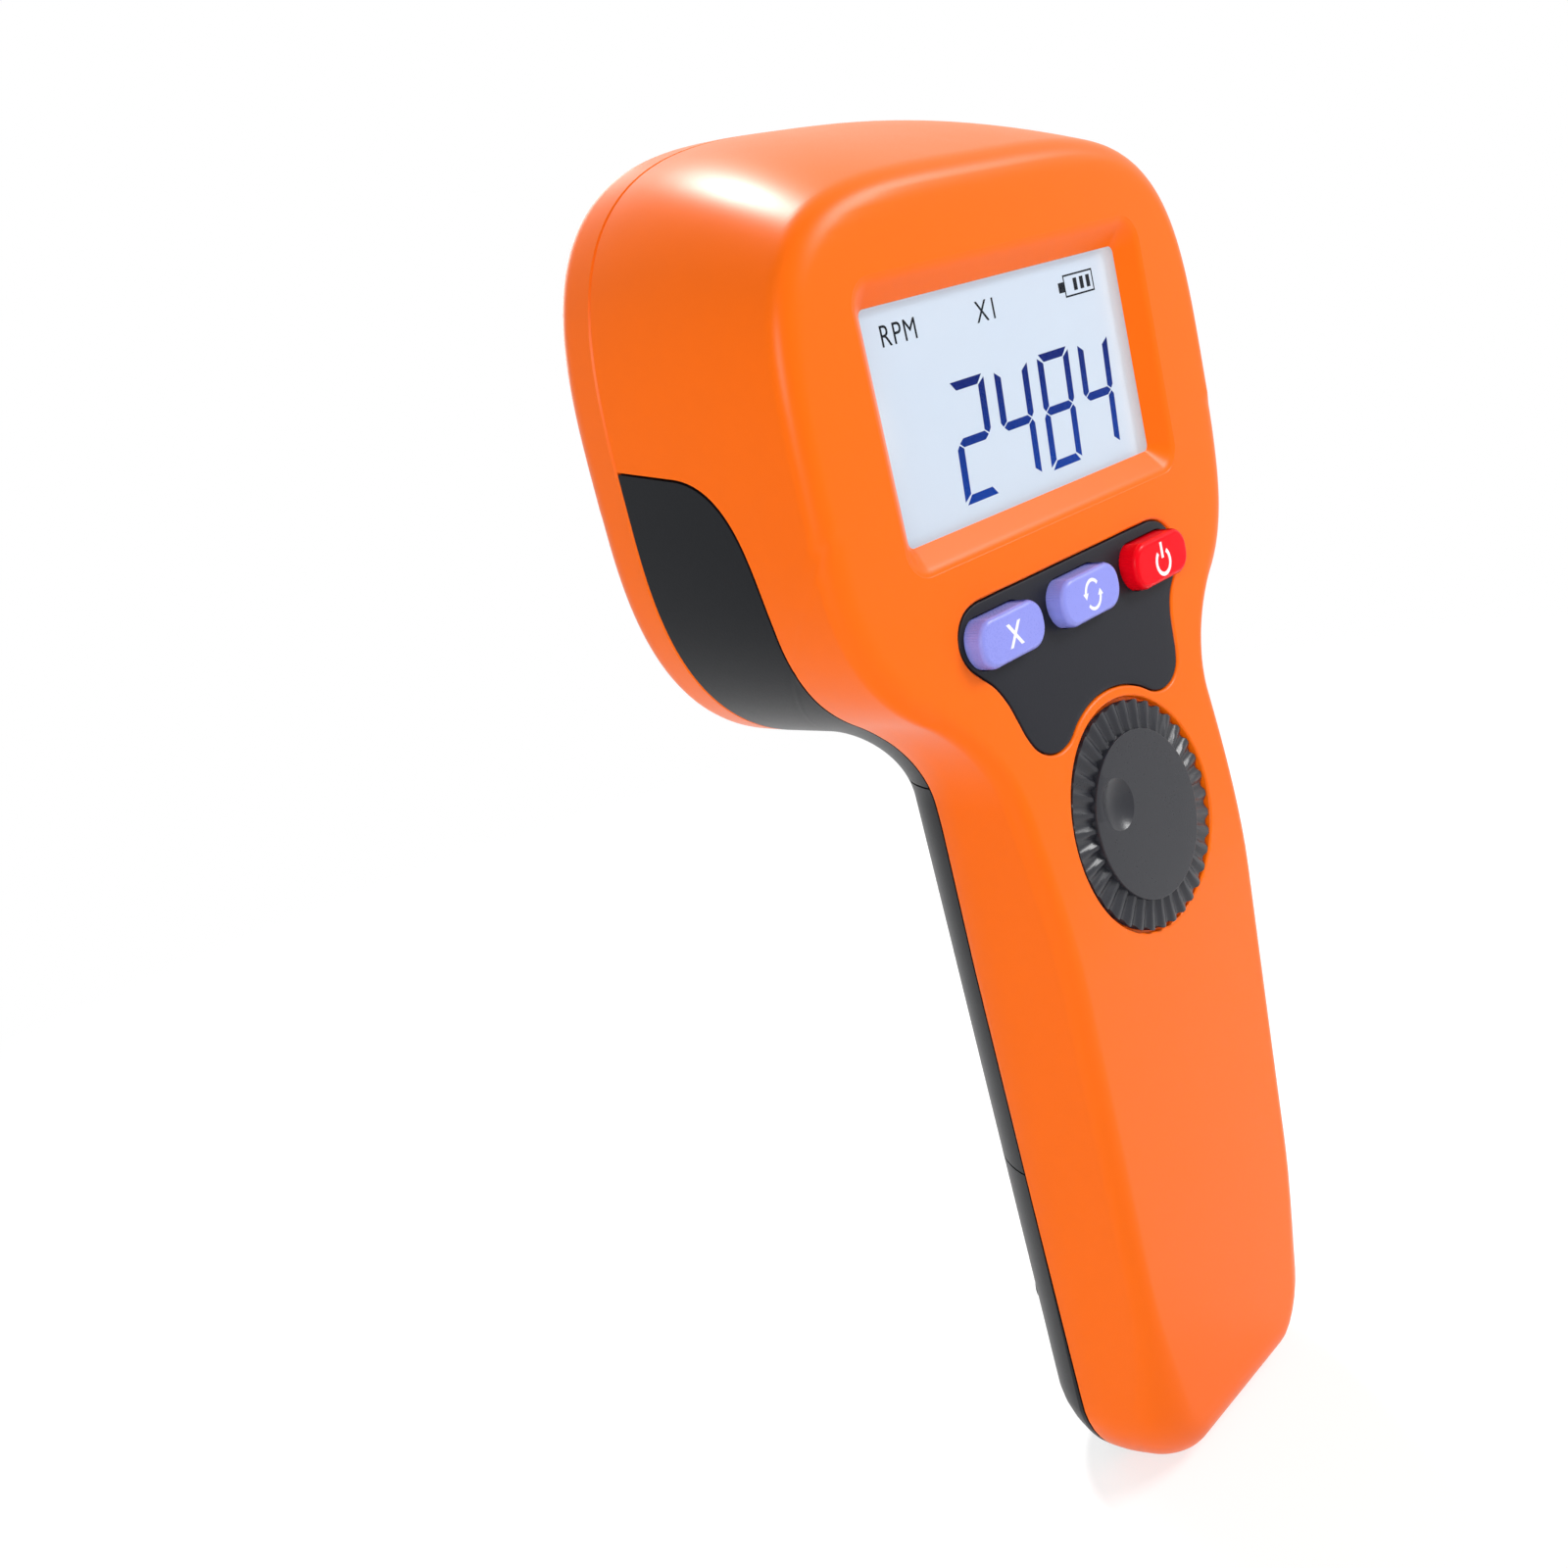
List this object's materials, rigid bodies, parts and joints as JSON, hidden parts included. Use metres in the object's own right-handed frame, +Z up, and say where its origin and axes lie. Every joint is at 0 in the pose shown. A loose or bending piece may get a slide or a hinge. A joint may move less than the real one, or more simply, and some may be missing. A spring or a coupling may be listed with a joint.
{
  "type": "handheld stroboscope",
  "caption": "Pistol-grip digital stroboscope: round-cornered head with a light at the front and a display, keys and a knurled knob at the rear, over a battery handle.",
  "frame": {"origin": "mouth of the tripod thread, in the middle of the handle's foot", "axes": "+Z up the handle to the head, +Y the way the light shines, +X to the right for someone reading the display"},
  "size_m": [0.0986, 0.0489, 0.2033],
  "materials": {
    "orange_plastic": "satin moulded plastic",
    "black_plastic": "fine matt plastic",
    "dark_plastic": "matt plastic",
    "clear_lens": "clear polished",
    "clear_window": "clear polished",
    "display_glass": "pale blue display",
    "white_plastic": "matt white",
    "black_rubber": "soft matt",
    "grey_rubber": "soft matt",
    "mirror_coat": "plastic with a vacuum-metallised mirror coat",
    "led_phosphor": "clear dome over yellow phosphor",
    "white_board": "white solder mask on aluminium",
    "sink_metal": "milled",
    "steel": "nickel plated",
    "brass": "turned",
    "green_board": "solder mask",
    "capacitor_sleeve": "shrink sleeve",
    "red_lead": "wire sleeve",
    "grey_ribbon": "ribbon",
    "lavender_key": "satin silicone",
    "red_key": "satin silicone",
    "knob_grey": "fine matt plastic",
    "cell_sleeve": "printed sleeve, plain"
  },
  "bodies": {
    "case": {"rear_shell": "orange_plastic", "front_shell": "black_plastic", "front_bezel": "orange_plastic", "front_lens": "clear_lens", "lens_seal": "black_rubber", "reflector": "mirror_coat", "led_emitters": "led_phosphor", "led_board": "white_board", "heat_sink": "sink_metal", "sink_screws": "steel", "standoffs": "brass", "display_window": "clear_window", "display_glass": "display_glass", "display_backlight": "white_plastic", "display_frame": "dark_plastic", "zebra_strips": "grey_rubber", "main_board": "green_board", "board_chips": "dark_plastic", "storage_capacitor": "capacitor_sleeve", "led_leads": "red_lead", "key_panel": "black_plastic", "switch_bodies": "dark_plastic", "encoder_body": "dark_plastic", "encoder_board": "green_board", "board_link": "grey_ribbon", "battery_tray": "dark_plastic", "battery_contacts": "steel", "battery_springs": "steel", "battery_cell_1": "cell_sleeve", "battery_cell_2": "cell_sleeve", "battery_cell_3": "cell_sleeve", "case_screws": "steel", "tripod_bush": "brass"},
    "key_multiply": {"key_multiply": "lavender_key", "plunger_multiply": "white_plastic"},
    "key_cycle": {"key_cycle": "lavender_key", "plunger_cycle": "white_plastic"},
    "key_power": {"key_power": "red_key", "plunger_power": "white_plastic"},
    "knob": {"knob": "knob_grey", "encoder_shaft": "steel"},
    "battery_door": {"battery_door": "black_plastic"}
  },
  "joints": [
    {"name": "knob_turn", "type": "hinge", "parent": "case", "child": "knob", "pos_m": [0, -0.01395, 0.1], "axis": [0, 0.9936, -0.1126], "continuous": true},
    {"name": "key_multiply_press", "type": "slide", "parent": "case", "child": "key_multiply", "axis": [0, 1, 0], "range_m": [0, 0.001], "stiffness_N_per_m": 600},
    {"name": "key_cycle_press", "type": "slide", "parent": "case", "child": "key_cycle", "axis": [0, 1, 0], "range_m": [0, 0.001], "stiffness_N_per_m": 600},
    {"name": "key_power_press", "type": "slide", "parent": "case", "child": "key_power", "axis": [0, 1, 0], "range_m": [0, 0.001], "stiffness_N_per_m": 600},
    {"name": "battery_door_lift", "type": "slide", "parent": "case", "child": "battery_door", "axis": [0, 1, 0], "range_m": [0, 0.045]}
  ]
}
